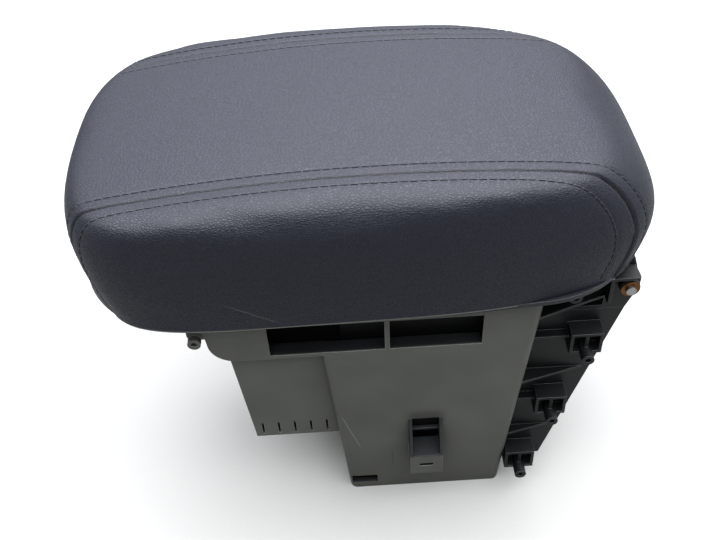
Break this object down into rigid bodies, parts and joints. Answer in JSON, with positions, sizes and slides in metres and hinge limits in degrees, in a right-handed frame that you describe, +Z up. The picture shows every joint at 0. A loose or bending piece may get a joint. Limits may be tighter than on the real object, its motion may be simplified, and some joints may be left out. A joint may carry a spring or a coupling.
{
  "type": "car centre armrest",
  "caption": "Padded armrest lid with twin stitched seams, hinged at the rear of a deep moulded storage bin with a front tray and sideways screw bosses; for a car's centre console.",
  "frame": {"origin": "on the floor under the middle of the lid", "axes": "+X to the rear of the car, +Y across it to the far side of the picture, +Z up"},
  "size_m": [0.34, 0.1888, 0.29],
  "materials": {
    "storage_bin": "fine moulded grain, dark grey",
    "bin_liner": "matte moulded, near black",
    "rear_frame": "matte moulded, dark grey",
    "hinge_bracket": "matte moulded, black",
    "lid_base": "matte moulded, dark grey",
    "lid_carrier": "matte moulded",
    "latch_lever": "fine grain, black",
    "rim_buffers": "matte soft rubber",
    "rear_frame_screws": "zinc plated",
    "hinge_bracket_screws": "zinc plated",
    "hinge_pin": "zinc plated",
    "hinge_leaf_screws": "zinc plated",
    "lid_base_screws": "zinc plated",
    "latch_striker": "zinc plated",
    "latch_striker_screws": "zinc plated",
    "latch_pin": "zinc plated",
    "latch_spring": "zinc plated",
    "hinge_pin_rings": "yellow passivated spring steel",
    "hinge_leaf": "black electrocoat",
    "lid_foam": "moulded open-cell foam",
    "cover_centre_panel": "fine grained charcoal leatherette",
    "cover_near_panel": "fine grained charcoal leatherette",
    "cover_far_panel": "fine grained charcoal leatherette"
  },
  "bodies": {
    "console": {"storage_bin": "storage_bin", "bin_liner": "bin_liner", "rim_buffers": "rim_buffers", "rear_frame": "rear_frame", "rear_frame_screws": "rear_frame_screws", "hinge_bracket": "hinge_bracket", "hinge_bracket_screws": "hinge_bracket_screws", "hinge_pin": "hinge_pin", "hinge_pin_rings": "hinge_pin_rings", "latch_striker": "latch_striker", "latch_striker_screws": "latch_striker_screws"},
    "lid": {"hinge_leaf": "hinge_leaf", "hinge_leaf_screws": "hinge_leaf_screws", "lid_base": "lid_base", "lid_base_screws": "lid_base_screws", "lid_carrier": "lid_carrier", "lid_foam": "lid_foam", "cover_centre_panel": "cover_centre_panel", "cover_near_panel": "cover_near_panel", "cover_far_panel": "cover_far_panel", "latch_pin": "latch_pin", "latch_spring": "latch_spring"},
    "latch": {"latch_lever": "latch_lever"}
  },
  "joints": [
    {"name": "lid_hinge", "type": "hinge", "parent": "console", "child": "lid", "pos_m": [0.157, 0, 0.187], "axis": [0, 1, 0], "range_deg": [0, 95]},
    {"name": "latch_pivot", "type": "hinge", "parent": "lid", "child": "latch", "pos_m": [-0.109, 0, 0.2115], "axis": [0, 1, 0], "range_deg": [0, 14], "stiffness_Nm_per_rad": 0.06}
  ]
}
